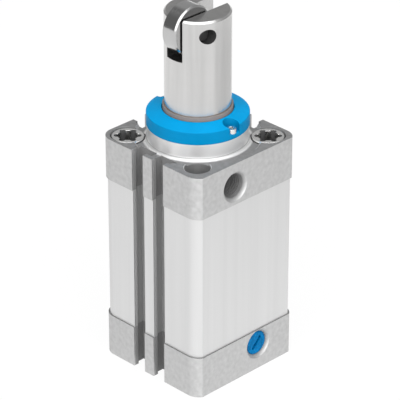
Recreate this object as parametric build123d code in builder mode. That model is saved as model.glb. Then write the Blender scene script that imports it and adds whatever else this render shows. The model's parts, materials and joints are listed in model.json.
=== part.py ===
from build123d import *
import os
from math import sqrt

# Stopper cylinder: a square air cylinder whose spring-loaded rod carries a roller in a fork.
# Millimetres. Z points up along the rod. The origin is the centre of the mounting face under
# the end cap. The supply port looks along +X, and the roller stands out of the fork towards -Y.
# The rod is drawn extended, which is its rest position, and retracts by the stroke.

os.makedirs("parts", exist_ok=True)

# Square body
bore_diameter = 32.0
stroke = 20.0
barrel_wall = 1.6
barrel_inset = 0.4
corner_radius = 5.4
port_side_cut = 0.9
end_cap_height = 15.0
bearing_cap_height = 15.0

# Sensor slots: two T-slots in each of three sides
slot_opening = 5.2
slot_rib = 4.2
slot_undercut = 1.1
slot_lip = 2.0
slot_depth = 5.4

# Tie screws and through bores on the corner diagonals
bolt_from_side = 6.75
through_bore_diameter = 8.6
through_bore_chamfer = 0.25
tie_head_diameter = 11.0
tie_head_height = 7.0
tie_head_sink = 0.3
tie_head_clearance = 0.4
tie_head_chamfer = 0.3
tie_thread_diameter = 8.0
tie_thread_length = 14.0
tie_socket_diameter = 9.1
tie_socket_lobe_diameter = 2.0
tie_socket_core_diameter = 6.8
tie_socket_depth = 4.0
tie_socket_turn = 45.0
tie_inner_thread_core = 5.0
tie_inner_thread_length = 11.0
tap_run_out = 2.0

# Air ports
port_core_diameter = 8.57
port_mouth_diameter = 10.8
port_thread_depth = 8.0
port_offset = 5.7
port_height_in_end_cap = 9.5
port_height_in_bearing_cap = 6.5
passage_diameter = 2.0
passage_lead = 1.8
passage_drop_under_bush = 3.3

# Boss, neck and valley on the bearing cap
boss_radius = 16.8
boss_height = 4.7
boss_foot_radius = 1.3
neck_radius = 13.5
neck_height = 1.3
valley_radius = 21.4
valley_edge_width = 0.8
valley_depth = 0.9

# Cover ring on the boss
ring_overhang = 0.2
ring_wall_height = 4.4
ring_height = 5.8
ring_edge_radius = 0.3
ring_bore_clearance = 0.9
ring_recess_diameter = 5.5
ring_recess_floor = 1.7
ring_screw_neck_clearance = 0.45
ring_screw_head_diameter = 3.6
ring_screw_head_height = 1.6
ring_screw_thread_diameter = 2.5
ring_screw_length = 3.5
ring_screw_hole_spare = 0.3
ring_screw_socket_width = 1.5
ring_screw_socket_depth = 1.1

# Rod
rod_diameter = 22.0
rod_end_chamfer = 0.6
rod_spring_bore_diameter = 13.2
rod_spigot_diameter = 16.0
fork_slot_width = 7.0
fork_floor_rise = 0.1
rod_above_roller_axis = 5.2

# Roller, its bush and its pin
roller_diameter = 16.8
roller_width = 6.0
roller_chamfer = 0.5
roller_offset = 4.9
roller_floor_gap = 1.0
roller_bush_wall = 1.0
roller_pin_diameter = 5.0
roller_pin_sink = 2.4
roller_pin_chamfer = 0.4

# Rod guide and seals in the bearing cap
cap_spigot_length = 10.0
chamber_gap = 1.5
guide_bush_wall = 2.0
guide_bush_length = 11.0
land_length = 1.2
land_gap = 0.3
rod_seal_wall = 3.2
rod_seal_height = 4.7
rod_seal_lip = 1.0
wiper_wall = 1.2
wiper_height = 2.8
wiper_lip_height = 1.3
wiper_lip_wall = 0.55

# Piston and what it carries
piston_length = 14.0
piston_gap = 0.2
piston_land = 0.8
piston_seal_wall = 2.6
piston_seal_height = 2.3
piston_seal_lip = 0.8
guide_band_wall = 1.2
guide_band_height = 2.8
magnet_wall = 2.0
magnet_height = 2.2
magnet_cover = 0.2
piston_nut_diameter = 23.0
piston_nut_height = 4.0
piston_nut_notch = 2.4

# End cap inside, stop bumpers and O-rings
end_spigot_length = 4.6
end_pocket_diameter = 15.0
end_pocket_floor = 6.0
bumper_thickness = 1.5
bumper_width = 2.8
stop_clearance = 0.2
o_ring_section = 1.8
o_ring_groove_width = 2.6
o_ring_edge = 1.0

# Return spring, and the hexagonal bar that keeps the rod from turning
spring_diameter = 12.4
spring_wire = 1.6
spring_wire_sides = 8
spring_turns = 10
spring_length = 72.0
hex_bar_width = 7.0
hex_bar_engagement = 4.5
hex_bar_end_room = 1.0
hex_bar_stud_diameter = 5.0
hex_bar_stud_length = 4.0

# Port plug
plug_length = 6.0
plug_sink = 0.8
plug_chamfer = 0.3
plug_slot_width = 1.3
plug_slot_length = 5.6
plug_slot_depth = 1.3
plug_slot_turn = 47.0

# Clearances between pieces
slide_clearance = 0.03
seal_clearance = 0.05
press_gap = 0.02
spigot_clearance = 0.05
hex_clearance = 0.04

# Places that follow from the sizes above
bore_radius = bore_diameter / 2
rod_radius = rod_diameter / 2
half_width = bore_radius + barrel_wall + slot_depth
cap_width = 2 * half_width
bolt_offset = half_width - bolt_from_side
slot_floor = half_width - slot_depth
spigot_radius = bore_radius - spigot_clearance
o_ring_groove_radius = bore_radius - o_ring_section - 2 * seal_clearance

barrel_length = (
    cap_spigot_length + end_spigot_length + piston_length + stroke + 2 * (bumper_thickness + stop_clearance)
)
barrel_bottom = end_cap_height
barrel_top = barrel_bottom + barrel_length
cap_top = barrel_top + bearing_cap_height
cap_spigot_bottom = barrel_top - cap_spigot_length
end_spigot_top = barrel_bottom + end_spigot_length
port_in_bearing_cap_z = barrel_top + port_height_in_bearing_cap

piston_top = cap_spigot_bottom - bumper_thickness - stop_clearance
piston_bottom = piston_top - piston_length
piston_radius = bore_radius - piston_gap

valley_floor = cap_top - valley_depth
ring_bottom = cap_top + boss_height
neck_top = ring_bottom + neck_height
ring_top = ring_bottom + ring_height
ring_radius = boss_radius + ring_overhang
ring_recess_z = ring_bottom + ring_recess_floor
ring_screw_from_axis = neck_radius + ring_screw_neck_clearance + ring_screw_thread_diameter / 2
ring_screw_places = [(ring_screw_from_axis, 0), (-ring_screw_from_axis, 0)]
ring_screw_hole_radius = ring_screw_thread_diameter / 2 + press_gap

guide_bush_top = barrel_top + guide_bush_length
guide_bush_radius = rod_radius + guide_bush_wall
rod_seal_bottom = guide_bush_top + land_length
rod_seal_top = rod_seal_bottom + rod_seal_height
rod_seal_radius = rod_radius + rod_seal_wall
wiper_radius = rod_radius + wiper_wall
wiper_shoulder = neck_top + wiper_height
wiper_top = ring_top + wiper_lip_height
chamber_radius = rod_radius + chamber_gap
land_radius = rod_radius + land_gap

fork_floor = ring_top + stroke + fork_floor_rise
roller_radius = roller_diameter / 2
roller_axis_z = fork_floor + roller_floor_gap + roller_radius
roller_pin_radius = roller_pin_diameter / 2
roller_bush_radius = roller_pin_radius + slide_clearance + roller_bush_wall
rod_top = roller_axis_z + rod_above_roller_axis
roller_centre = Plane(origin=(0, -roller_offset, roller_axis_z), x_dir=(0, 1, 0), z_dir=(1, 0, 0))

rod_spring_shoulder = end_pocket_floor + spring_length
hex_bar_top = rod_spring_shoulder + hex_bar_engagement
hex_hole_top = hex_bar_top + stroke + hex_bar_end_room

tie_hole_radius = tie_thread_diameter / 2 + press_gap
tie_counterbore_radius = tie_head_diameter / 2 + tie_head_clearance
tie_counterbore_depth = tie_head_height + tie_head_sink
tie_corners = [(-bolt_offset, -bolt_offset), (bolt_offset, bolt_offset)]
through_corners = [(bolt_offset, -bolt_offset), (-bolt_offset, bolt_offset)]


def body_outline(width):
    """Outline of a cap or of the barrel: round corners, and the port side milled flat across two of them."""
    with Locations((port_side_cut / 2, 0)):
        RectangleRounded(width + port_side_cut, width, corner_radius)
    with Locations((width / 2 + port_side_cut, 0)):
        Rectangle(2 * port_side_cut, width, mode=Mode.SUBTRACT)


def slot_profiles(mode):
    """T-slot sections in the sides at +Y, -X and -Y, added to the sketch that is open."""
    with PolarLocations(slot_floor, 3, start_angle=90, angular_range=180, endpoint=True):
        with GridLocations(1, slot_opening + slot_rib, 1, 2):
            head = slot_opening + 2 * slot_undercut
            Rectangle(slot_depth - slot_lip, head, align=(Align.MIN, Align.CENTER), mode=mode)
            Rectangle(2 * slot_depth, slot_opening, align=(Align.MIN, Align.CENTER), mode=mode)


def round_bores(low, high, radius, corners=((0, 0),)):
    """Plain round bores along Z, cut between two heights."""
    with BuildSketch(Plane.XY.offset(low)) as section:
        with Locations(*corners):
            Circle(radius)
    extrude(section.sketch, amount=high - low, mode=Mode.SUBTRACT)


def ring_groove(low, high, radius, outside):
    """Groove cut into a round piece from its outside."""
    with BuildSketch(Plane.XY.offset(low)) as section:
        Circle(outside)
        Circle(radius, mode=Mode.SUBTRACT)
    extrude(section.sketch, amount=high - low, mode=Mode.SUBTRACT)


def side_port(offset, height):
    """Threaded port in the side at +X, with its mouth chamfered."""
    with BuildSketch(Plane.YZ.offset(half_width)) as core:
        with Locations((offset, height)):
            Circle(port_core_diameter / 2)
    extrude(core.sketch, amount=-port_thread_depth, mode=Mode.SUBTRACT)
    with BuildSketch(Plane.YZ.offset(half_width)) as mouth:
        with Locations((offset, height)):
            Circle(port_mouth_diameter / 2)
    mouth_depth = (port_mouth_diameter - port_core_diameter) / 2
    extrude(mouth.sketch, amount=-mouth_depth, taper=45, mode=Mode.SUBTRACT)


def turned_ring(inner, outer, low, high):
    """Plain ring round the Z axis."""
    with BuildSketch(Plane.XY.offset(low)) as section:
        Circle(outer)
        Circle(inner, mode=Mode.SUBTRACT)
    extrude(section.sketch, amount=high - low)


def lip_seal(inner, outer, low, high, lip, open_at_top):
    """U-shaped seal ring whose lips face the pressure."""
    mouth, back = (high, low) if open_at_top else (low, high)
    root = mouth + (back - mouth) * 0.45
    with BuildSketch(Plane.XZ) as section:
        with BuildLine():
            Polyline(
                (inner, mouth),
                (inner, back),
                (outer, back),
                (outer, mouth),
                (outer - lip, mouth),
                ((inner + outer) / 2, root),
                (inner + lip, mouth),
                close=True,
            )
        make_face()
    revolve(section.sketch, axis=Axis.Z)


# End cap: closes the barrel, holds the spring and the lower port
with BuildPart() as end_cap:
    with BuildSketch():
        body_outline(cap_width)
        slot_profiles(Mode.SUBTRACT)
    extrude(amount=end_cap_height)
    with BuildSketch(Plane.XY.offset(end_cap_height)):
        Circle(spigot_radius)
    extrude(amount=end_spigot_length)
    groove_low = barrel_bottom + o_ring_edge
    ring_groove(groove_low, groove_low + o_ring_groove_width, o_ring_groove_radius, bore_radius)
    round_bores(end_pocket_floor, end_spigot_top, end_pocket_diameter / 2)
    stud_hole_bottom = end_pocket_floor - hex_bar_stud_length
    round_bores(stud_hole_bottom, end_pocket_floor, hex_bar_stud_diameter / 2 + press_gap)
    round_bores(0, end_cap_height, through_bore_diameter / 2, through_corners)
    round_bores(0, end_cap_height, tie_hole_radius, tie_corners)
    round_bores(0, tie_counterbore_depth, tie_counterbore_radius, tie_corners)
    with BuildSketch():
        with Locations(*through_corners):
            Circle(through_bore_diameter / 2 + through_bore_chamfer)
    extrude(amount=through_bore_chamfer, taper=45, mode=Mode.SUBTRACT)
    side_port(port_offset, port_height_in_end_cap)
    with BuildSketch(Plane.YZ.offset(half_width - port_thread_depth)):
        with Locations((port_offset, port_height_in_end_cap)):
            Circle(passage_diameter / 2)
    extrude(amount=-(half_width - port_thread_depth - end_pocket_diameter / 4), mode=Mode.SUBTRACT)
end_cap.part.label = "end_cap"
export_step(end_cap.part, "parts/end_cap.step")

# Barrel: one extrusion, bored for the piston and tapped for the tie screws
with BuildPart() as barrel:
    with BuildSketch(Plane.XY.offset(barrel_bottom)):
        body_outline(cap_width - 2 * barrel_inset)
        slot_profiles(Mode.SUBTRACT)
        Circle(bore_radius, mode=Mode.SUBTRACT)
    extrude(amount=barrel_length)
    round_bores(barrel_bottom, barrel_top, through_bore_diameter / 2, through_corners)
    tap_depth = tie_thread_length + tap_run_out
    round_bores(barrel_bottom, barrel_bottom + tap_depth, tie_hole_radius, tie_corners)
    round_bores(barrel_top - tap_depth, barrel_top, tie_hole_radius, tie_corners)
barrel.part.label = "barrel"
export_step(barrel.part, "parts/barrel.step")

# Bearing cap: guides the rod, holds its seals and the upper port
with BuildPart() as bearing_cap:
    with BuildSketch(Plane.XY.offset(barrel_top)):
        body_outline(cap_width)
    extrude(amount=bearing_cap_height)
    for radius, low, high in (
        (spigot_radius, cap_spigot_bottom, barrel_top),
        (boss_radius, cap_top, ring_bottom),
        (neck_radius, ring_bottom, neck_top),
    ):
        with BuildSketch(Plane.XY.offset(low)):
            Circle(radius)
        extrude(amount=high - low)
    with BuildSketch(Plane.XZ):
        with BuildLine():
            Polyline(
                (boss_radius, cap_top),
                (boss_radius, valley_floor),
                (valley_radius - valley_edge_width, valley_floor),
                (valley_radius, cap_top),
                close=True,
            )
        make_face()
    revolve(axis=Axis.Z, mode=Mode.SUBTRACT)
    round_edges = bearing_cap.edges().filter_by(GeomType.CIRCLE)
    valley_edges = round_edges.filter_by_position(Axis.Z, valley_floor, cap_top, (True, False))
    fillet(valley_edges.sort_by(SortBy.RADIUS)[0], boss_foot_radius)
    with BuildSketch(Plane.XY.offset(barrel_top)):
        slot_profiles(Mode.ADD)
    extrude(amount=bearing_cap_height + boss_foot_radius, mode=Mode.SUBTRACT)
    round_bores(cap_spigot_bottom, barrel_top, chamber_radius)
    round_bores(barrel_top, guide_bush_top, guide_bush_radius)
    round_bores(guide_bush_top, neck_top, land_radius)
    round_bores(rod_seal_bottom, rod_seal_top, rod_seal_radius)
    groove_low = cap_spigot_bottom + o_ring_edge
    ring_groove(groove_low, groove_low + o_ring_groove_width, o_ring_groove_radius, bore_radius)
    round_bores(barrel_top, cap_top, through_bore_diameter / 2, through_corners)
    round_bores(barrel_top, cap_top, tie_hole_radius, tie_corners)
    round_bores(cap_top - tie_counterbore_depth, cap_top, tie_counterbore_radius, tie_corners)
    with BuildSketch(Plane.XY.offset(cap_top - through_bore_chamfer)):
        with Locations(*through_corners):
            Circle(through_bore_diameter / 2)
    extrude(amount=through_bore_chamfer, taper=-45, mode=Mode.SUBTRACT)
    screw_hole_bottom = ring_recess_z - ring_screw_length - ring_screw_hole_spare
    round_bores(screw_hole_bottom, ring_bottom, ring_screw_hole_radius, ring_screw_places)
    side_port(-port_offset, port_in_bearing_cap_z)
    port_bottom = Vector(half_width - port_thread_depth, -port_offset, 0)
    outward = port_bottom.normalized()
    passage_start = port_bottom + outward * passage_lead + Vector(0, 0, port_in_bearing_cap_z)
    passage_end = outward * chamber_radius + Vector(0, 0, barrel_top - passage_drop_under_bush)
    with BuildSketch(Plane(origin=passage_start, z_dir=passage_end - passage_start)):
        Circle(passage_diameter / 2)
    extrude(amount=(passage_end - passage_start).length, mode=Mode.SUBTRACT)
bearing_cap.part.label = "bearing_cap"
export_step(bearing_cap.part, "parts/bearing_cap.step")

# O-rings in the grooves of both spigots
for name, groove_bottom in (
    ("upper_o_ring", cap_spigot_bottom + o_ring_edge),
    ("lower_o_ring", barrel_bottom + o_ring_edge),
):
    section_radius = o_ring_section / 2
    section_centre_radius = bore_radius - seal_clearance - section_radius
    with BuildPart() as o_ring:
        with BuildSketch(Plane.XZ):
            with Locations((section_centre_radius, groove_bottom + o_ring_groove_width / 2)):
                Circle(section_radius)
        revolve(axis=Axis.Z)
    o_ring.part.label = name
    export_step(o_ring.part, f"parts/{name}.step")

# Stop bumpers on both spigots
bumper_inner_radius = chamber_radius + seal_clearance
for name, low in (
    ("upper_bumper", cap_spigot_bottom - bumper_thickness),
    ("lower_bumper", end_spigot_top),
):
    with BuildPart() as bumper:
        turned_ring(bumper_inner_radius, bumper_inner_radius + bumper_width, low, low + bumper_thickness)
    bumper.part.label = name
    export_step(bumper.part, f"parts/{name}.step")

# Tie screws: socket heads tapped inside, two in each cap
for name, corner, face_z, up, cap_height in (
    ("upper_tie_screw_left", tie_corners[0], cap_top, 1, bearing_cap_height),
    ("upper_tie_screw_right", tie_corners[1], cap_top, 1, bearing_cap_height),
    ("lower_tie_screw_left", tie_corners[0], 0, -1, end_cap_height),
    ("lower_tie_screw_right", tie_corners[1], 0, -1, end_cap_height),
):
    head_face = Plane(origin=(*corner, face_z - up * tie_head_sink), z_dir=(0, 0, up))
    shank_length = cap_height - tie_counterbore_depth + tie_thread_length
    with BuildPart() as tie_screw:
        with BuildSketch(head_face):
            Circle(tie_head_diameter / 2)
        extrude(amount=-tie_head_height)
        chamfer(tie_screw.edges().sort_by(Axis.Z, reverse=up > 0)[0], tie_head_chamfer)
        with BuildSketch(head_face.offset(-tie_head_height)):
            Circle(tie_thread_diameter / 2)
        extrude(amount=-shank_length)
        with BuildSketch(head_face):
            Circle(tie_socket_core_diameter / 2)
            lobe_from_axis = (tie_socket_diameter - tie_socket_lobe_diameter) / 2
            with PolarLocations(lobe_from_axis, 6, start_angle=tie_socket_turn):
                Circle(tie_socket_lobe_diameter / 2)
        extrude(amount=-tie_socket_depth, mode=Mode.SUBTRACT)
        with BuildSketch(head_face.offset(-tie_socket_depth)):
            Circle(tie_inner_thread_core / 2)
        extrude(amount=-tie_inner_thread_length, mode=Mode.SUBTRACT)
    tie_screw.part.label = name
    export_step(tie_screw.part, f"parts/{name}.step")

# Cover ring: coned top, seated on the neck and held down by a screw on either side
with BuildPart() as cover_ring:
    with BuildSketch(Plane.XZ):
        with BuildLine():
            ring_bore_radius = rod_radius + ring_bore_clearance
            Polyline(
                (ring_radius, ring_bottom),
                (ring_radius, ring_bottom + ring_wall_height),
                (ring_bore_radius, ring_top),
                (ring_bore_radius, wiper_shoulder),
                (wiper_radius, wiper_shoulder),
                (wiper_radius, neck_top),
                (neck_radius + press_gap, neck_top),
                (neck_radius + press_gap, ring_bottom),
                close=True,
            )
        make_face()
    revolve(axis=Axis.Z)
    fillet(cover_ring.edges().filter_by(GeomType.CIRCLE).sort_by(SortBy.RADIUS)[-2:], ring_edge_radius)
    round_bores(ring_recess_z, ring_top, ring_recess_diameter / 2, ring_screw_places)
    round_bores(ring_bottom, ring_recess_z, ring_screw_hole_radius, ring_screw_places)
cover_ring.part.label = "cover_ring"
export_step(cover_ring.part, "parts/cover_ring.step")

# Low-headed socket screws of the cover ring
for name, place in zip(("ring_screw", "left_ring_screw"), ring_screw_places):
    with BuildPart() as ring_screw:
        ring_screw_seat = Plane(origin=(*place, ring_recess_z))
        with BuildSketch(ring_screw_seat):
            Circle(ring_screw_head_diameter / 2)
        extrude(amount=ring_screw_head_height)
        with BuildSketch(ring_screw_seat):
            Circle(ring_screw_thread_diameter / 2)
        extrude(amount=-ring_screw_length)
        with BuildSketch(ring_screw_seat.offset(ring_screw_head_height)):
            RegularPolygon(ring_screw_socket_width / 2, 6, major_radius=False)
        extrude(amount=-ring_screw_socket_depth, mode=Mode.SUBTRACT)
    ring_screw.part.label = name
    export_step(ring_screw.part, f"parts/{name}.step")

# Guide bush pressed into the bearing cap
with BuildPart() as guide_bush:
    turned_ring(rod_radius + slide_clearance, guide_bush_radius - press_gap, barrel_top, guide_bush_top)
guide_bush.part.label = "guide_bush"
export_step(guide_bush.part, "parts/guide_bush.step")

# Rod seal above the guide bush, its lips towards the pressure
with BuildPart() as rod_seal:
    lip_seal(
        rod_radius + seal_clearance,
        rod_seal_radius - seal_clearance,
        rod_seal_bottom + seal_clearance,
        rod_seal_top - seal_clearance,
        rod_seal_lip,
        open_at_top=False,
    )
rod_seal.part.label = "rod_seal"
export_step(rod_seal.part, "parts/rod_seal.step")

# Rod wiper: held between the neck and the cover ring, with a thin lip that stands up round the rod
with BuildPart() as rod_wiper:
    wiper_inner_radius = rod_radius + seal_clearance
    turned_ring(wiper_inner_radius, wiper_radius - press_gap, neck_top, wiper_shoulder)
    turned_ring(wiper_inner_radius, wiper_inner_radius + wiper_lip_wall, wiper_shoulder, wiper_top)
rod_wiper.part.label = "rod_wiper"
export_step(rod_wiper.part, "parts/rod_wiper.step")

# Plug in the port of the end cap
with BuildPart() as port_plug:
    plug_face = Plane(
        origin=(half_width - plug_sink, port_offset, port_height_in_end_cap), x_dir=(0, 1, 0), z_dir=(1, 0, 0)
    )
    with BuildSketch(plug_face):
        Circle(port_core_diameter / 2 - press_gap)
    extrude(amount=-plug_length)
    chamfer(port_plug.edges(), plug_chamfer)
    with BuildSketch(plug_face):
        SlotOverall(plug_slot_length, plug_slot_width, rotation=plug_slot_turn)
    extrude(amount=-plug_slot_depth, mode=Mode.SUBTRACT)
port_plug.part.label = "port_plug"
export_step(port_plug.part, "parts/port_plug.step")

# Hexagonal bar: stands in the end cap and slides in the hexagonal bore of the rod
with BuildPart() as hex_bar:
    with BuildSketch(Plane.XY.offset(end_pocket_floor)):
        RegularPolygon(hex_bar_width / 2, 6, major_radius=False)
    extrude(amount=hex_bar_top - end_pocket_floor)
    with BuildSketch(Plane.XY.offset(end_pocket_floor)):
        Circle(hex_bar_stud_diameter / 2)
    extrude(amount=-hex_bar_stud_length)
hex_bar.part.label = "anti_rotation_bar"
export_step(hex_bar.part, "parts/anti_rotation_bar.step")

# Return spring: from the floor of the end cap to the shoulder inside the rod, its wire drawn with flats
with BuildPart() as return_spring:
    spring_travel = spring_length - spring_wire - 2 * seal_clearance
    with BuildLine() as coil:
        Helix(
            spring_travel / spring_turns,
            spring_travel,
            (spring_diameter - spring_wire) / 2,
            center=(0, 0, end_pocket_floor + seal_clearance + spring_wire / 2),
        )
    with BuildSketch(Plane(origin=coil.line @ 0, z_dir=coil.line % 0)):
        RegularPolygon(spring_wire / 2, spring_wire_sides)
    sweep(is_frenet=True)
return_spring.part.label = "return_spring"
export_step(return_spring.part, "parts/return_spring.step")

# Piston rod: fork for the roller at the top, hollow for the spring, spigot for the piston
with BuildPart() as piston_rod:
    with BuildSketch(Plane.XZ):
        with BuildLine():
            Polyline(
                (0, piston_bottom),
                (rod_spigot_diameter / 2, piston_bottom),
                (rod_spigot_diameter / 2, piston_top),
                (rod_radius, piston_top),
                (rod_radius, rod_top - rod_end_chamfer),
                (rod_radius - rod_end_chamfer, rod_top),
                (0, rod_top),
                close=True,
            )
        make_face()
    revolve(axis=Axis.Z)
    round_bores(piston_bottom, rod_spring_shoulder, rod_spring_bore_diameter / 2)
    with BuildSketch(Plane.XY.offset(rod_spring_shoulder)):
        RegularPolygon(hex_bar_width / 2 + hex_clearance, 6, major_radius=False)
    extrude(amount=hex_hole_top - rod_spring_shoulder, mode=Mode.SUBTRACT)
    with BuildSketch(Plane.XY.offset(fork_floor)):
        Rectangle(fork_slot_width, rod_diameter)
    extrude(amount=rod_top - fork_floor, mode=Mode.SUBTRACT)
    with BuildSketch(roller_centre):
        Circle(roller_pin_radius + press_gap)
    extrude(amount=rod_radius, both=True, mode=Mode.SUBTRACT)
piston_rod.part.label = "piston_rod"
export_step(piston_rod.part, "parts/piston_rod.step")

# Roller, with the dry bush that it turns on
with BuildPart() as roller:
    with BuildSketch(roller_centre):
        Circle(roller_radius)
        Circle(roller_bush_radius + press_gap, mode=Mode.SUBTRACT)
    extrude(amount=roller_width / 2, both=True)
    chamfer(roller.edges().filter_by(GeomType.CIRCLE).sort_by(SortBy.RADIUS)[-2:], roller_chamfer)
roller.part.label = "roller"
export_step(roller.part, "parts/roller.step")

with BuildPart() as roller_bush:
    with BuildSketch(roller_centre):
        Circle(roller_bush_radius)
        Circle(roller_pin_radius + slide_clearance, mode=Mode.SUBTRACT)
    extrude(amount=roller_width / 2, both=True)
roller_bush.part.label = "roller_bush"
export_step(roller_bush.part, "parts/roller_bush.step")

# Roller pin: pressed through both cheeks of the fork, its ends below the rod's surface
with BuildPart() as roller_pin:
    pin_half_length = sqrt(rod_radius**2 - roller_offset**2) - roller_pin_sink
    with BuildSketch(roller_centre):
        Circle(roller_pin_radius)
    extrude(amount=pin_half_length, both=True)
    chamfer(roller_pin.edges().filter_by(GeomType.CIRCLE), roller_pin_chamfer)
roller_pin.part.label = "roller_pin"
export_step(roller_pin.part, "parts/roller_pin.step")

# Piston: grooved for two seals, a guide band and the sensor magnet
upper_seal_top = piston_top - piston_land
guide_band_top = upper_seal_top - piston_seal_height - piston_land
magnet_top = guide_band_top - guide_band_height - piston_land
lower_seal_top = piston_bottom + piston_land + piston_seal_height
with BuildPart() as piston:
    with BuildSketch(Plane.XY.offset(piston_bottom)):
        Circle(piston_radius)
        Circle(rod_spigot_diameter / 2 + press_gap, mode=Mode.SUBTRACT)
    extrude(amount=piston_length)
    for top, height, wall in (
        (upper_seal_top, piston_seal_height, piston_seal_wall),
        (guide_band_top, guide_band_height, guide_band_wall),
        (magnet_top, magnet_height, magnet_wall),
        (lower_seal_top, piston_seal_height, piston_seal_wall),
    ):
        ring_groove(top - height, top, piston_radius - wall, bore_radius)
    round_bores(piston_bottom, piston_bottom + piston_nut_height, piston_nut_diameter / 2 + piston_gap)
piston.part.label = "piston"
export_step(piston.part, "parts/piston.step")

# Piston seals, each with its lips towards its own end
for name, top, open_at_top in (
    ("upper_piston_seal", upper_seal_top, True),
    ("lower_piston_seal", lower_seal_top, False),
):
    with BuildPart() as piston_seal:
        lip_seal(
            piston_radius - piston_seal_wall + seal_clearance,
            bore_radius - seal_clearance,
            top - piston_seal_height + seal_clearance,
            top - seal_clearance,
            piston_seal_lip,
            open_at_top,
        )
    piston_seal.part.label = name
    export_step(piston_seal.part, f"parts/{name}.step")

# Guide band, and the ring magnet that the sensors in the slots detect
for name, top, height, wall, outside in (
    ("piston_guide_band", guide_band_top, guide_band_height, guide_band_wall, bore_radius - seal_clearance),
    ("piston_magnet", magnet_top, magnet_height, magnet_wall, piston_radius - magnet_cover),
):
    with BuildPart() as piston_ring:
        inside = piston_radius - wall + seal_clearance
        turned_ring(inside, outside, top - height + seal_clearance, top - seal_clearance)
    piston_ring.part.label = name
    export_step(piston_ring.part, f"parts/{name}.step")

# Piston nut: notched ring that clamps the piston against the rod's shoulder
with BuildPart() as piston_nut:
    with BuildSketch(Plane.XY.offset(piston_bottom)):
        Circle(piston_nut_diameter / 2)
        Circle(rod_spigot_diameter / 2 + press_gap, mode=Mode.SUBTRACT)
        with PolarLocations(piston_nut_diameter / 2, 4):
            Rectangle(piston_nut_notch, piston_nut_notch, mode=Mode.SUBTRACT)
    extrude(amount=piston_nut_height)
piston_nut.part.label = "piston_nut"
export_step(piston_nut.part, "parts/piston_nut.step")
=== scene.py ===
# Stopper cylinder: finishes of the CAD parts, thread in the upper port, return spring, camera and studio
import json
from math import cos, pi, radians, sin

import bmesh
import bpy
from mathutils import Matrix, Vector


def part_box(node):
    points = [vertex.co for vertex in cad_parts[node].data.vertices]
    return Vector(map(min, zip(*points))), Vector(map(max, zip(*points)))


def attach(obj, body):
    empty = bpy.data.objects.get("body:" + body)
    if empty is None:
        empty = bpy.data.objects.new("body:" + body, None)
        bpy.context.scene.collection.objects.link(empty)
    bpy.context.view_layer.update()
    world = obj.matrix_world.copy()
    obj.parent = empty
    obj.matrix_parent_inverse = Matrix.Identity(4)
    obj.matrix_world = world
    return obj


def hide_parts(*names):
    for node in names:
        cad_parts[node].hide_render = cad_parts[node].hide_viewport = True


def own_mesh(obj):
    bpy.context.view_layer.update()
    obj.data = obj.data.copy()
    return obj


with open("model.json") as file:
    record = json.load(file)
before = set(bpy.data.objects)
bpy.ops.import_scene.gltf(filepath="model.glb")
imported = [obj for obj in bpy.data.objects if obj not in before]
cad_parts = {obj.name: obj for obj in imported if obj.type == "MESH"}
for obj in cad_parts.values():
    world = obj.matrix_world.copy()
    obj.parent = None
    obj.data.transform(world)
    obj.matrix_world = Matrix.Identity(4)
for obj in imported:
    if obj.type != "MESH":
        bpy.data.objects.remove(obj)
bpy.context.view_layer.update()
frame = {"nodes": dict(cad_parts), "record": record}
nodes = frame["nodes"]
mounts = {mount["name"]: mount for mount in frame["record"]["mounts"]}

MM = 0.001
WHITE = (1.0, 1.0, 1.0, 1.0)
NUMBER, DIRECTION = "NodeSocketFloat", "NodeSocketVector"

# The photograph's camera: it looks down on the corner between the slotted side and the port side
CAMERA_PLACE = Vector((560.15, -552.89, 483.71)) * MM
CAMERA_AZIMUTH = 45.324
CAMERA_ELEVATION = 28.426
CAMERA_LENS = 243.0
CAMERA_SENSOR = 36.0

# Soft boxes in the room: degrees to the right of the camera, degrees up, half width in degrees, strength
SOFT_BOXES = {
    "zenith": (0, 90, 40, 0.22),
    "back_low": (180, 8, 45, 0.42),
    "left_low": (-90, 12, 45, 0.17),
    "right_low": (90, 12, 45, 0.40),
    "front_low": (0, 8, 45, 2.2),
    "front_high": (0, 45, 40, 0.35),
}
# Each soft box fades out over this many degrees to both sides of its edge
BOX_EDGE = 12

# Lamp: degrees to the right of the camera, degrees up, distance, size and power, and where it aims
LAMP_AZIMUTH, LAMP_ELEVATION = 0, 78
LAMP_DISTANCE, LAMP_SIZE, LAMP_POWER = 0.9, 1.2, 8.5
LAMP_AIM = Vector((0, 0, 70)) * MM

# Strength of the plain white that the camera sees: the background, the floor's glow and the card
WHITE_STRENGTH = 1.0

# Floor: from its middle to its edge, its shade, and the share that glows to the camera and in reflections
FLOOR_REACH = 4.0
FLOOR_SHADE = 0.95
FLOOR_GLOW_SHARE = 0.94

# Grey card beside the part: from and to, in degrees to the right of the camera, then radii and height
CARD_FROM, CARD_TO = 58, 150
CARD_RADII = (0.165, 0.30)
CARD_HEIGHT = 0.2 * MM
CARD_STEPS = 24
CARD_SHADE = 0.62
CARD_ROUGHNESS = 0.8

# Fine pipe thread of the upper port
THREAD_PITCH = 0.907 * MM
THREAD_DEPTH = 0.30 * MM
THREAD_ROOT_SINK = 0.03 * MM
THREAD_HALF_FOOT = 0.42 * THREAD_PITCH
THREAD_STEPS = 64

# Return spring inside the rod, which shortens as the rod goes down
SPRING_TURNS = 10
SPRING_STEPS = 32
SPRING_WIRE_SIDES = 8
SPRING_WIRE = 1.6 * MM

# New pieces: vertices nearer than this are welded, and edges sharper than this stay sharp
WELD_DISTANCE = 0.002 * MM
SHARP_ANGLE = radians(35)

# A noise value lies mostly between these two
NOISE_LOW, NOISE_HIGH = 0.25, 0.75

# Share of the fine rings' scale that the broad marks of turning have
BROAD_RING_SCALE = 0.12

# Rays that look for a sharp edge near a point
BEVEL_SAMPLES = 6

# Upright part of a normal: a wall begins below the first value and is full below the second
WALL_BEGINS, WALL_IS_FULL = 0.7, 0.3

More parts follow.
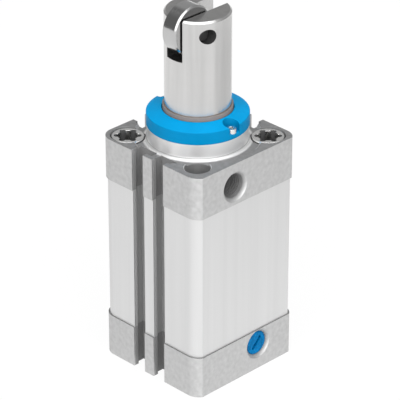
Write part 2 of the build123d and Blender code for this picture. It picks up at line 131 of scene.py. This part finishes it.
# Upright part of a normal from which a face counts as level in full
LEVEL_IS_FULL = 0.98

# Painted shade in a recess begins at this share of its fade, and this far down it covers level faces too
FADE_START = 0.2
RECESS_ALL_DARK = 4 * MM

# Walls of recesses: how rough, and how metallic
RECESS_ROUGHNESS = 0.75
RECESS_METALLIC = 0.35

# Level faces of the caps: how rough, and how much painted shade darkens them
LEVEL_ROUGHNESS = 0.8
LEVEL_PAINTED_SHADE = 0.45

# Below this height a level face of an upper tie screw is its socket's floor, which painted shade darkens by
# this much
SOCKET_RIM = 80.5 * MM
SOCKET_FLOOR_SHADE = 0.85

# Pin hole in the fork: how much wider than the pin, how far out the cheeks begin, and its painted shade
PIN_HOLE_SPARE = 0.06 * MM
CHEEK_INSIDE = 3.6 * MM
PIN_HOLE_SHADE = 0.03


def effect_group(name, inputs, outputs):
    """An empty shader node group: its node tree, the sockets it is given and the sockets it fills."""
    tree = bpy.data.node_groups.new(name, "ShaderNodeTree")
    for label, default in inputs.items():
        kind = DIRECTION if isinstance(default, tuple) else NUMBER
        socket = tree.interface.new_socket(name=label, in_out="INPUT", socket_type=kind)
        socket.default_value = default
    for label, kind in outputs.items():
        tree.interface.new_socket(name=label, in_out="OUTPUT", socket_type=kind)
    return tree, tree.nodes.new("NodeGroupInput").outputs, tree.nodes.new("NodeGroupOutput").inputs


def add(tree, kind, settings=None, **inputs):
    """A new node with its settings, and its inputs set or linked by name or number."""
    node = tree.nodes.new(kind)
    for key, value in (settings or {}).items():
        setattr(node, key, value)
    for key, value in inputs.items():
        place = int(key[1:]) if key[0] == "n" and key[1:].isdigit() else key.replace("_", " ")
        connect(tree, value, node.inputs[place])
    return node


def connect(tree, value, socket):
    """Links an output to the socket, or sets the socket to a plain value."""
    if isinstance(value, bpy.types.NodeSocket):
        tree.links.new(value, socket)
    else:
        socket.default_value = value


def maths(tree, operation, a, b=0.0):
    return add(tree, "ShaderNodeMath", {"operation": operation}, n0=a, n1=b).outputs[0]


def vector_maths(tree, operation, a, b, output="Vector"):
    return add(tree, "ShaderNodeVectorMath", {"operation": operation}, n0=a, n1=b).outputs[output]


def distance(tree, a, b):
    """Length of the line whose two parts are a and b."""
    squares = [maths(tree, "MULTIPLY", part, part) for part in (a, b)]
    return maths(tree, "SQRT", maths(tree, "ADD", *squares))


def split(tree, vector):
    """The X, Y and Z of a vector, by name."""
    return add(tree, "ShaderNodeSeparateXYZ", None, Vector=vector).outputs


def place_on_object(tree):
    return add(tree, "ShaderNodeTexCoord").outputs["Object"]


def surface_normal(tree):
    return add(tree, "ShaderNodeNewGeometry").outputs["Normal"]


def ramp(tree, value, low, high, settings=None):
    """Runs from 0 to 1 as the value runs from low to high."""
    limits = {"From_Min": low, "From_Max": high}
    return add(tree, "ShaderNodeMapRange", settings, Value=value, **limits).outputs["Result"]


def spread(tree, noise, low=0.0, high=1.0):
    """Turns noise, which keeps near 0.5, into a value that runs from low to high."""
    limits = {"From_Min": NOISE_LOW, "From_Max": NOISE_HIGH, "To_Min": low, "To_Max": high}
    return add(tree, "ShaderNodeMapRange", None, Value=noise, **limits).outputs["Result"]


def noise_at(tree, place, scale, detail):
    return add(tree, "ShaderNodeTexNoise", None, Vector=place, Scale=scale, Detail=detail).outputs["Fac"]


def noise_along(tree, length, scale, detail):
    settings = {"noise_dimensions": "1D"}
    return add(tree, "ShaderNodeTexNoise", settings, W=length, Scale=scale, Detail=detail).outputs["Fac"]


def make_blast_group():
    """Blasted or cast skin: fine pits, and a soft cloudiness a few millimetres across."""
    inputs = {"Pit Scale": 2600.0, "Cloud Scale": 220.0}
    tree, given, result = effect_group("blasted_skin", inputs, {"Pits": NUMBER, "Cloud": NUMBER})
    place = place_on_object(tree)
    connect(tree, noise_at(tree, place, given["Pit Scale"], detail=3.0), result["Pits"])
    connect(tree, noise_at(tree, place, given["Cloud Scale"], detail=4.0), result["Cloud"])
    return tree


def make_streak_group():
    """Long marks along one axis, as a die leaves on an extrusion."""
    inputs = {"Stretch": (1.0, 1.0, 0.02), "Fine Scale": 1500.0, "Broad Scale": 260.0}
    tree, given, result = effect_group("drawn_streaks", inputs, {"Fine": NUMBER, "Broad": NUMBER})
    squeezed = vector_maths(tree, "MULTIPLY", place_on_object(tree), given["Stretch"])
    connect(tree, noise_at(tree, squeezed, given["Fine Scale"], detail=2.0), result["Fine"])
    connect(tree, noise_at(tree, squeezed, given["Broad Scale"], detail=2.0), result["Broad"])
    return tree


def make_turning_group():
    """Fine rings round an axis through Centre, as turning or grinding leaves them on faces and on walls."""
    inputs = {"Centre": (0.0, 0.0, 0.0), "Turn": (0.0, 0.0, 0.0), "Scale": 1500.0}
    tree, given, result = effect_group("turned_rings", inputs, {"Rings": NUMBER, "Tone": NUMBER})
    centred = vector_maths(tree, "SUBTRACT", place_on_object(tree), given["Centre"])
    settings = {"rotation_type": "EULER_XYZ"}
    turned = add(tree, "ShaderNodeVectorRotate", settings, Vector=centred, Rotation=given["Turn"])
    parts = split(tree, turned.outputs[0])
    along = maths(tree, "ADD", distance(tree, parts["X"], parts["Y"]), parts["Z"])
    broad_scale = maths(tree, "MULTIPLY", given["Scale"], BROAD_RING_SCALE)
    connect(tree, noise_along(tree, along, given["Scale"], detail=2.0), result["Rings"])
    connect(tree, noise_along(tree, along, broad_scale, detail=3.0), result["Tone"])
    return tree


def make_edge_group():
    """The normal that a small break of each sharp edge gives."""
    tree, given, result = effect_group("broken_edges", {"Radius": 0.2 * MM}, {"Normal": DIRECTION})
    soft = add(tree, "ShaderNodeBevel", {"samples": BEVEL_SAMPLES}, Radius=given["Radius"])
    connect(tree, soft.outputs["Normal"], result["Normal"])
    return tree


def make_recess_shade_group():
    """1 on the walls of slots, ports, corner holes and screw sockets, where the finishes paint shade, 0
    outside.
    """
    inputs = {
        "Half Width": 23.0 * MM,  # from the axis of the body to its sides
        "Fade": 1.0 * MM,  # depth behind a side at which a wall's painted shade is full
        "Top": 82.0 * MM,  # upper face of the bearing cap
        "Reach": 12.5 * MM,  # how far from the middle of a side its slots and port lie
        "Hole Place": 16.25 * MM,  # axes of the corner holes, from the middle both ways
        "Hole Core": 0.0,  # radius round a corner axis that stays light
        "Hole Radius": 6.1 * MM,  # just outside the widest hole in a corner
        "Hole Share": 0.95,  # how dark the painted shade in a corner hole gets
    }
    tree, given, result = effect_group("recess_painted_shade", inputs, {"Shade": NUMBER})
    place = split(tree, place_on_object(tree))
    from_middle = [maths(tree, "ABSOLUTE", place[axis]) for axis in "XY"]

    depth = maths(tree, "SUBTRACT", given["Half Width"], maths(tree, "MAXIMUM", *from_middle))
    inside = ramp(tree, depth, maths(tree, "MULTIPLY", given["Fade"], FADE_START), given["Fade"])
    in_reach = maths(tree, "LESS_THAN", maths(tree, "MINIMUM", *from_middle), given["Reach"])
    slot = maths(tree, "MULTIPLY", inside, in_reach)

    from_hole = distance(tree, *[maths(tree, "SUBTRACT", far, given["Hole Place"]) for far in from_middle])
    within = maths(tree, "LESS_THAN", from_hole, given["Hole Radius"])
    off_core = maths(tree, "GREATER_THAN", from_hole, given["Hole Core"])
    hole = maths(tree, "MULTIPLY", maths(tree, "MULTIPLY", within, off_core), given["Hole Share"])

    upright_part = maths(tree, "ABSOLUTE", split(tree, surface_normal(tree))["Z"])
    upright = ramp(tree, upright_part, WALL_BEGINS, WALL_IS_FULL)
    under = maths(tree, "LESS_THAN", place["Z"], given["Top"])
    dark_below = maths(tree, "SUBTRACT", given["Top"], RECESS_ALL_DARK)
    well_under = maths(tree, "LESS_THAN", place["Z"], dark_below)
    wall = maths(tree, "MULTIPLY", maths(tree, "MAXIMUM", upright, well_under), under)
    connect(tree, maths(tree, "MULTIPLY", wall, maths(tree, "MAXIMUM", slot, hole)), result["Shade"])
    return tree


def make_boss_group():
    """1 on the turned boss and its foot, on top of the bearing cap."""
    inputs = {"Radius": 17.6 * MM, "Fade": 0.8 * MM, "Foot": 79.5 * MM}
    tree, given, result = effect_group("turned_boss", inputs, {"Boss": NUMBER})
    place = split(tree, place_on_object(tree))
    from_axis = distance(tree, place["X"], place["Y"])
    fade_end = maths(tree, "ADD", given["Radius"], given["Fade"])
    near = ramp(tree, from_axis, fade_end, given["Radius"])
    above = maths(tree, "GREATER_THAN", place["Z"], given["Foot"])
    connect(tree, maths(tree, "MULTIPLY", near, above), result["Boss"])
    return tree


def make_upward_group():
    """1 on level faces that look up, which the finishes use for painted shade, and the caps also for gloss.
    """
    tree, given, result = effect_group("level_faces", {"Least Slope": 0.9}, {"Level": NUMBER})
    upright_part = split(tree, surface_normal(tree))["Z"]
    connect(tree, ramp(tree, upright_part, given["Least Slope"], LEVEL_IS_FULL), result["Level"])
    return tree


EFFECTS = {
    "blast": make_blast_group(),
    "streak": make_streak_group(),
    "turn": make_turning_group(),
    "edge": make_edge_group(),
    "recess": make_recess_shade_group(),
    "upward": make_upward_group(),
    "boss": make_boss_group(),
}


def place_effect(tree, name, **values):
    """Puts one of the effects into a finish, with its named values, and gives what it fills."""
    node = tree.nodes.new("ShaderNodeGroup")
    node.node_tree = EFFECTS[name]
    for key, value in values.items():
        node.inputs[key.replace("_", " ")].default_value = value
    return node.outputs


def grey(shade):
    return (shade, shade, shade)


def mixed(tree, factor, a, b, blend="MIX"):
    """A colour that runs from a to b with factor, each a linked colour or three numbers."""
    mix = add(tree, "ShaderNodeMix", {"data_type": "RGBA", "blend_type": blend})
    connect(tree, factor, mix.inputs["Factor"])
    for label, colour in (("A", a), ("B", b)):
        connect(tree, (*colour, 1.0) if isinstance(colour, tuple) else colour, mix.inputs[label])
    return mix.outputs["Result"]


def tinted(tree, colour, factor, change):
    """A colour that gets lighter by change as factor runs from 0 to 1, and starts as much darker."""
    darker = tuple(max(0.0, part * (1 - change)) for part in colour)
    lighter = tuple(min(1.0, part * (1 + change)) for part in colour)
    return mixed(tree, factor, darker, lighter)


def dulled(tree, colour, factor, share):
    """A linked colour that loses the given share of its light where factor is 1."""
    return mixed(tree, factor, colour, grey(1 - share), blend="MULTIPLY")


def between(tree, factor, low, high):
    """A number, given or linked, that runs from low to high with factor."""
    return add(tree, "ShaderNodeMix", {"data_type": "FLOAT"}, n0=factor, n2=low, n3=high).outputs[0]


def uneven(tree, noise, roughness, by):
    """Roughness that wanders with the noise, by so much to both sides."""
    return spread(tree, noise, roughness - by, roughness + by)


def new_finish(name, metallic):
    material = bpy.data.materials.new(name)
    material.use_nodes = True
    shader = material.node_tree.nodes["Principled BSDF"]
    shader.inputs["Metallic"].default_value = metallic
    return material, material.node_tree, shader


def paint_recess_shade(tree, shader, colour, roughness, recess, recess_shade_colour):
    """Outside colour and gloss, turned into a dull wall with painted shade where recess is 1."""
    connect(tree, mixed(tree, recess, colour, recess_shade_colour), shader.inputs["Base Color"])
    connect(tree, between(tree, recess, roughness, RECESS_ROUGHNESS), shader.inputs["Roughness"])
    connect(tree, between(tree, recess, 1.0, RECESS_METALLIC), shader.inputs["Metallic"])


def roughen(tree, shader, height, strength, depth, edge_radius=0.2 * MM):
    """Feeds a bump over the broken edges into the shader's normal."""
    edges = place_effect(tree, "edge", Radius=edge_radius)
    relief = {"Height": height, "Strength": strength, "Distance": depth, "Normal": edges["Normal"]}
    bump = add(tree, "ShaderNodeBump", None, **relief)
    connect(tree, bump.outputs["Normal"], shader.inputs["Normal"])


def blasted_aluminium(name, colour, roughness, recess_shade_colour, boss_colour):
    """Blasted cap: rougher and darker by painted shade on its level faces, turned on its boss, and painted
    shade in its recesses.
    """
    material, tree, shader = new_finish(name, metallic=1.0)
    skin = place_effect(tree, "blast", Cloud_Scale=650.0)
    level = place_effect(tree, "upward")["Level"]
    boss = place_effect(tree, "boss")["Boss"]
    recess = place_effect(tree, "recess")["Shade"]
    blasted = tinted(tree, colour, spread(tree, skin["Cloud"]), change=0.10)
    outside = mixed(tree, boss, dulled(tree, blasted, level, LEVEL_PAINTED_SHADE), boss_colour)
    gloss = between(tree, level, uneven(tree, skin["Pits"], roughness, by=0.05), LEVEL_ROUGHNESS)
    paint_recess_shade(tree, shader, outside, gloss, recess, recess_shade_colour)
    roughen(tree, shader, skin["Pits"], strength=0.25, depth=0.04 * MM)
    return material


def drawn_aluminium(name, colour, roughness, recess_shade_colour):
    """Extruded barrel, slightly narrower than the caps, with the die's streaks along it and painted shade in
    its slots.
    """
    material, tree, shader = new_finish(name, metallic=1.0)
    streaks = place_effect(tree, "streak")
    recess = place_effect(tree, "recess", Half_Width=22.6 * MM)["Shade"]
    outside = tinted(tree, colour, spread(tree, streaks["Broad"]), change=0.03)
    gloss = uneven(tree, streaks["Fine"], roughness, by=0.04)
    paint_recess_shade(tree, shader, outside, gloss, recess, recess_shade_colour)
    roughen(tree, shader, streaks["Fine"], strength=0.15, depth=0.03 * MM)
    return material


def turned_skin(tree, colour, roughness, centre=(0, 0, 0), turn=(0, 0, 0), tone=0.04, level_shade=0.0):
    """Colour, roughness and fine rings of a turned or ground piece, with painted shade on its level faces if
    asked.
    """
    marks = place_effect(tree, "turn", Centre=centre, Turn=turn)
    level = place_effect(tree, "upward")["Level"]
    turned = tinted(tree, colour, spread(tree, marks["Tone"]), tone)
    skin_colour = dulled(tree, turned, level, level_shade)
    return skin_colour, uneven(tree, marks["Rings"], roughness, by=0.02), marks["Rings"]


def turned_metal(name, colour, roughness, **skin):
    material, tree, shader = new_finish(name, metallic=1.0)
    skin_colour, gloss, rings = turned_skin(tree, colour, roughness, **skin)
    connect(tree, skin_colour, shader.inputs["Base Color"])
    connect(tree, gloss, shader.inputs["Roughness"])
    roughen(tree, shader, rings, strength=0.1, depth=0.02 * MM, edge_radius=0.15 * MM)
    return material


def ground_rod(name, colour, roughness, pin_axis, pin_radius):
    """Ground steel with faint upright streaks, painted shade on its level faces, and dull with painted shade
    in the pin's hole.
    """
    material, tree, shader = new_finish(name, metallic=1.0)
    skin_colour, gloss, rings = turned_skin(tree, colour, roughness, tone=0.012, level_shade=0.25)
    place = split(tree, place_on_object(tree))
    across = maths(tree, "SUBTRACT", place["Y"], pin_axis.y)
    up = maths(tree, "SUBTRACT", place["Z"], pin_axis.z)
    in_hole = maths(tree, "LESS_THAN", distance(tree, across, up), pin_radius + PIN_HOLE_SPARE)
    in_cheek = maths(tree, "GREATER_THAN", maths(tree, "ABSOLUTE", place["X"]), CHEEK_INSIDE)
    hole = maths(tree, "MULTIPLY", in_hole, in_cheek)
    streaks = place_effect(tree, "streak", Stretch=(1.0, 1.0, 0.06), Broad_Scale=420.0)
    streaked = dulled(tree, skin_colour, spread(tree, streaks["Broad"]), share=0.10)
    paint_recess_shade(tree, shader, streaked, gloss, hole, grey(PIN_HOLE_SHADE))
    roughen(tree, shader, rings, strength=0.01, depth=0.02 * MM, edge_radius=0.15 * MM)
    return material


def moulded_plastic(name, colour, roughness, tone=0.05, shine=0.5, wall_shade=0.0, grain=150.0):
    """Moulded skin, whose walls may be darker than its upper faces by painted shade."""
    material, tree, shader = new_finish(name, metallic=0.0)
    shader.inputs["Specular IOR Level"].default_value = shine
    skin = place_effect(tree, "blast", Pit_Scale=3500.0, Cloud_Scale=grain)
    level = place_effect(tree, "upward", Least_Slope=0.6)["Level"]
    moulded = tinted(tree, colour, spread(tree, skin["Cloud"]), tone)
    skin_colour = dulled(tree, moulded, maths(tree, "SUBTRACT", 1.0, level), wall_shade)
    connect(tree, skin_colour, shader.inputs["Base Color"])
    connect(tree, uneven(tree, skin["Pits"], roughness, by=0.05), shader.inputs["Roughness"])
    roughen(tree, shader, skin["Pits"], strength=0.1, depth=0.03 * MM)
    return material


def plated_screw(name, colour, roughness, socket_shade_colour):
    """Bright zinc plate, dull with painted shade on the socket walls of the upper tie screws, and painted
    shade on their floors.
    """
    material, tree, shader = new_finish(name, metallic=1.0)
    skin = place_effect(tree, "blast", Pit_Scale=3500.0, Cloud_Scale=150.0)
    socket = place_effect(tree, "recess", Reach=0.0, Hole_Core=3.8 * MM, Hole_Radius=4.7 * MM)["Shade"]
    sunk = maths(tree, "LESS_THAN", split(tree, place_on_object(tree))["Z"], SOCKET_RIM)
    floor = maths(tree, "MULTIPLY", place_effect(tree, "upward")["Level"], sunk)
    plate = tinted(tree, colour, spread(tree, skin["Cloud"]), change=0.05)
    gloss = uneven(tree, skin["Pits"], roughness, by=0.05)
    paint_recess_shade(tree, shader, dulled(tree, plate, floor, SOCKET_FLOOR_SHADE), gloss, socket, socket_shade_colour)
    roughen(tree, shader, skin["Pits"], strength=0.1, depth=0.03 * MM)
    return material


def dress(material, *names):
    for name in names:
        for slot in nodes[name].material_slots:
            slot.material = material


def dress_body():
    # The recess colours of caps and barrel are painted shade in their slots, ports and corner holes
    caps = {"colour": grey(0.595), "roughness": 0.55, "recess_shade_colour": grey(0.25), "boss_colour": grey(0.83)}
    dress(blasted_aluminium("cap_aluminium_blasted", **caps), "end_cap", "bearing_cap")
    drawn = {"colour": grey(0.74), "roughness": 0.48, "recess_shade_colour": grey(0.36)}
    dress(drawn_aluminium("barrel_aluminium_drawn", **drawn), "barrel")
    # The dark socket colour is painted shade in the sockets of the upper tie screws
    plated = {"colour": (0.88, 0.88, 0.87), "roughness": 0.24, "socket_shade_colour": grey(0.08)}
    dress(plated_screw("zinc_plate", **plated), *[name for name in nodes if "screw" in name])


def dress_blue_parts():
    # The ring's walls get painted shade against its upper faces
    ring = {"colour": (0.0, 0.285, 0.60), "roughness": 0.45, "shine": 0.05, "wall_shade": 0.25}
    dress(moulded_plastic("blue_moulded", **ring), "cover_ring")
    # The plug's blue is darker than the ring's: partly its own colour, partly painted shade of its sunk place
    # in the port
    plug = {"colour": (0.0, 0.135, 0.34), "roughness": 0.5, "shine": 0.05, "tone": 0.35, "grain": 1100.0}
    dress(moulded_plastic("blue_plug_moulded", **plug), "port_plug")


def dress_rod_and_roller():
    roller_low, roller_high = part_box("roller")
    pin_low, pin_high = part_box("roller_pin")
    axis = (roller_low + roller_high) / 2
    pin_radius = (pin_high - pin_low).z / 2
    rod = {"colour": (0.665, 0.66, 0.655), "roughness": 0.24, "pin_axis": axis, "pin_radius": pin_radius}
    dress(ground_rod("rod_ground_steel", **rod), "piston_rod")
    lying = (0, pi / 2, 0)
    roller = {"colour": grey(0.54), "roughness": 0.17, "centre": tuple(axis), "turn": lying}
    dress(turned_metal("roller_ground_steel", **roller), "roller")
    # The pin's near-black colour is painted shade of the dark pin hole
    dress(moulded_plastic("pin_painted_shade_black", grey(0.03), roughness=0.55), "roller_pin")
    dress(moulded_plastic("wiper_polyurethane", (0.23, 0.20, 0.185), roughness=0.55), "rod_wiper")


def dress_inside():
    bronze = turned_metal("bronze_turned", (0.50, 0.34, 0.16), roughness=0.35)
    dress(bronze, "guide_bush", "roller_bush")
    steel = turned_metal("steel_turned", (0.55, 0.55, 0.54), roughness=0.35)
    dress(steel, "anti_rotation_bar", "piston_nut", "return_spring")
    dress(turned_metal("piston_turned", grey(0.70), roughness=0.35), "piston")
    seals = ["rod_seal", "upper_o_ring", "lower_o_ring", "upper_bumper", "lower_bumper"]
    seals += ["upper_piston_seal", "lower_piston_seal"]
    dress(moulded_plastic("seal_rubber", grey(0.03), roughness=0.6), *seals)
    dress(moulded_plastic("band_plastic", (0.32, 0.22, 0.14), roughness=0.5), "piston_guide_band")
    dress(moulded_plastic("magnet_ferrite", (0.06, 0.06, 0.065), roughness=0.5), "piston_magnet")


def put_in_scene(name, data):
    thing = bpy.data.objects.new(name, data)
    bpy.context.scene.collection.objects.link(thing)
    return thing


def mesh_object(name, bm, material):
    """An object at the origin with the shape worked out in bm."""
    mesh = bpy.data.meshes.new(name)
    bm.to_mesh(mesh)
    bm.free()
    mesh.materials.append(material)
    return put_in_scene(name, mesh)


def finished_piece(name, bm, material, body):
    """A new piece of the part, which moves with its body."""
    bmesh.ops.remove_doubles(bm, verts=bm.verts, dist=WELD_DISTANCE)
    bmesh.ops.recalc_face_normals(bm, faces=bm.faces)
    piece = mesh_object(name, bm, material)
    piece.data.set_sharp_from_angle(angle=SHARP_ANGLE)
    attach(piece, body)
    return piece


def port_thread():
    """Ridge of the pipe thread, wound along the wall of the upper port."""
    port = mounts["supply_port"]
    radius = port["dims"]["r_mm"] * MM
    length = port["dims"]["length_mm"] * MM
    middle = Vector(port["pos_m"])
    start = middle.x - length / 2 + THREAD_PITCH / 2
    turns = int(length / THREAD_PITCH) - 1
    root = radius + THREAD_ROOT_SINK
    crest = radius - THREAD_DEPTH
    profile = ((start - THREAD_HALF_FOOT, root), (start, crest), (start + THREAD_HALF_FOOT, root))
    bm = bmesh.new()
    corners = [bm.verts.new((x, middle.y, middle.z + up)) for x, up in profile]
    edges = [bm.edges.new(pair) for pair in zip(corners, corners[1:] + corners[:1])]
    bmesh.ops.spin(
        bm,
        geom=corners + edges,
        cent=(0, middle.y, middle.z),
        axis=(1, 0, 0),
        dvec=(THREAD_PITCH / THREAD_STEPS, 0, 0),
        angle=2 * pi * turns,
        steps=THREAD_STEPS * turns,
        use_merge=False,
    )
    bmesh.ops.holes_fill(bm, edges=bm.edges, sides=3)
    # The thread's dark recess colour is painted shade inside the port
    cut = {"colour": grey(0.59), "roughness": 0.5, "recess_shade_colour": grey(0.15), "boss_colour": grey(0.59)}
    finished_piece("port_thread", bm, blasted_aluminium("port_thread_cut", **cut), "housing")


def return_spring():
    """The spring as a new wound piece, in place of the CAD node, which can't shorten."""
    low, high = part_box("return_spring")
    middle = (low + high) / 2
    radius = (high.x - low.x - SPRING_WIRE) / 2
    rise = high.z - low.z - SPRING_WIRE
    steps = SPRING_TURNS * SPRING_STEPS
    first = Matrix.Translation((middle.x + radius, middle.y, low.z + SPRING_WIRE / 2))
    bm = bmesh.new()
    section = bmesh.ops.create_circle(
        bm,
        segments=SPRING_WIRE_SIDES,
        radius=SPRING_WIRE / 2,
        matrix=first @ Matrix.Rotation(pi / 2, 4, "X"),
    )["verts"]
    bmesh.ops.spin(
        bm,
        geom=section + bm.edges[:],
        cent=middle,
        axis=(0, 0, 1),
        dvec=(0, 0, rise / steps),
        angle=2 * pi * SPRING_TURNS,
        steps=steps,
        use_merge=False,
    )
    bmesh.ops.holes_fill(bm, edges=bm.edges, sides=SPRING_WIRE_SIDES)
    steel = nodes["return_spring"].material_slots[0].material
    spring = finished_piece("return_spring_wound", bm, steel, "housing")
    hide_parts("return_spring")
    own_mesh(spring)


def toward(azimuth, elevation):
    """Direction from the object, by degrees to the right of the camera and degrees up."""
    side, up = radians(CAMERA_AZIMUTH + azimuth), radians(elevation)
    return Vector((sin(side) * cos(up), -cos(side) * cos(up), sin(up)))


def set_camera():
    data = bpy.data.cameras.new("camera")
    data.lens = CAMERA_LENS
    data.sensor_width = CAMERA_SENSOR
    camera = put_in_scene("camera", data)
    back = toward(0, CAMERA_ELEVATION)
    right = toward(90, 0)
    turn = Matrix((right, back.cross(right), back)).transposed().to_4x4()
    camera.matrix_world = Matrix.Translation(CAMERA_PLACE) @ turn
    bpy.context.scene.camera = camera


def ray_is(tree, *kinds):
    """1 for rays of the kinds named, from the Light Path node, and 0 for the rest."""
    path = add(tree, "ShaderNodeLightPath").outputs
    total = path[kinds[0]]
    for kind in kinds[1:]:
        total = maths(tree, "MAXIMUM", total, path[kind])
    return total


def send_mix(tree, share, first, second, output_kind):
    """Sends a mix of two shaders, with this share of the second, to the output of a material or the world."""
    mix = add(tree, "ShaderNodeMixShader", None, n0=share, n1=first.outputs[0], n2=second.outputs[0])
    connect(tree, mix.outputs[0], add(tree, output_kind).inputs["Surface"])


def empty_tree(owner):
    """The node tree of a new material or world, with nothing in it."""
    owner.use_nodes = True
    owner.node_tree.nodes.clear()
    return owner.node_tree


def set_floor():
    """White floor that shows as the background and keeps a faint shadow of the object."""
    material = bpy.data.materials.new("floor_white")
    tree = empty_tree(material)
    matt = add(tree, "ShaderNodeBsdfDiffuse", None, Color=(*grey(FLOOR_SHADE), 1.0))
    glow = add(tree, "ShaderNodeEmission", None, Color=WHITE, Strength=WHITE_STRENGTH)
    seen = ray_is(tree, "Is Camera Ray", "Is Glossy Ray", "Is Transmission Ray")
    share = maths(tree, "MULTIPLY", seen, FLOOR_GLOW_SHARE)
    send_mix(tree, share, matt, glow, "ShaderNodeOutputMaterial")
    bm = bmesh.new()
    bmesh.ops.create_grid(bm, x_segments=1, y_segments=1, size=FLOOR_REACH)
    floor = mesh_object("floor", bm, material)


def set_grey_card():
    """Grey card on the floor, white to the camera, which the ground rod shows as a darker band."""
    material = bpy.data.materials.new("card_grey")
    tree = empty_tree(material)
    grain = place_effect(tree, "blast")["Cloud"]
    colour = tinted(tree, grey(CARD_SHADE), grain, change=0.03)
    matt = add(tree, "ShaderNodeBsdfPrincipled", None, Base_Color=colour, Roughness=CARD_ROUGHNESS)
    white = add(tree, "ShaderNodeEmission", None, Color=WHITE, Strength=WHITE_STRENGTH)
    send_mix(tree, ray_is(tree, "Is Camera Ray"), matt, white, "ShaderNodeOutputMaterial")
    bm = bmesh.new()
    start, lift = toward(CARD_FROM, 0), Vector((0, 0, CARD_HEIGHT))
    ends = [bm.verts.new(start * radius + lift) for radius in CARD_RADII]
    edge = bm.edges.new(ends)
    turn = radians(CARD_TO - CARD_FROM)
    bmesh.ops.spin(bm, geom=[*ends, edge], cent=(0, 0, 0), axis=(0, 0, 1), angle=turn, steps=CARD_STEPS)
    card = mesh_object("grey_card", bm, material)


def set_world():
    """Studio round the part: white to the camera, and soft boxes in a dark room to everything else."""
    world = bpy.data.worlds.new("studio")
    bpy.context.scene.world = world
    tree = empty_tree(world)
    direction = add(tree, "ShaderNodeTexCoord").outputs["Generated"]
    total = 0.0
    for azimuth, elevation, half_width, strength in SOFT_BOXES.values():
        nearness = vector_maths(tree, "DOT_PRODUCT", direction, toward(azimuth, elevation), output="Value")
        outer, inner = (cos(radians(half_width + edge)) for edge in (BOX_EDGE, -BOX_EDGE))
        box = ramp(tree, nearness, outer, inner, {"interpolation_type": "SMOOTHSTEP"})
        total = maths(tree, "ADD", total, maths(tree, "MULTIPLY", box, strength))
    studio = add(tree, "ShaderNodeBackground", None, Color=WHITE, Strength=total)
    white = add(tree, "ShaderNodeBackground", None, Color=WHITE, Strength=WHITE_STRENGTH)
    send_mix(tree, ray_is(tree, "Is Camera Ray"), studio, white, "ShaderNodeOutputWorld")


def set_lamp():
    data = bpy.data.lights.new("overhead_lamp", "AREA")
    data.shape = "SQUARE"
    data.size = LAMP_SIZE
    data.energy = LAMP_POWER
    lamp = put_in_scene("overhead_lamp", data)
    from_aim = toward(LAMP_AZIMUTH, LAMP_ELEVATION) * LAMP_DISTANCE
    lamp.location = LAMP_AIM + from_aim
    lamp.rotation_mode = "QUATERNION"
    lamp.rotation_quaternion = (-from_aim).to_track_quat("-Z", "Y")


dress_body()
dress_blue_parts()
dress_rod_and_roller()
dress_inside()
port_thread()
return_spring()
set_camera()
set_floor()
set_grey_card()
set_world()
set_lamp()
bpy.context.scene.view_settings.view_transform = "Standard"
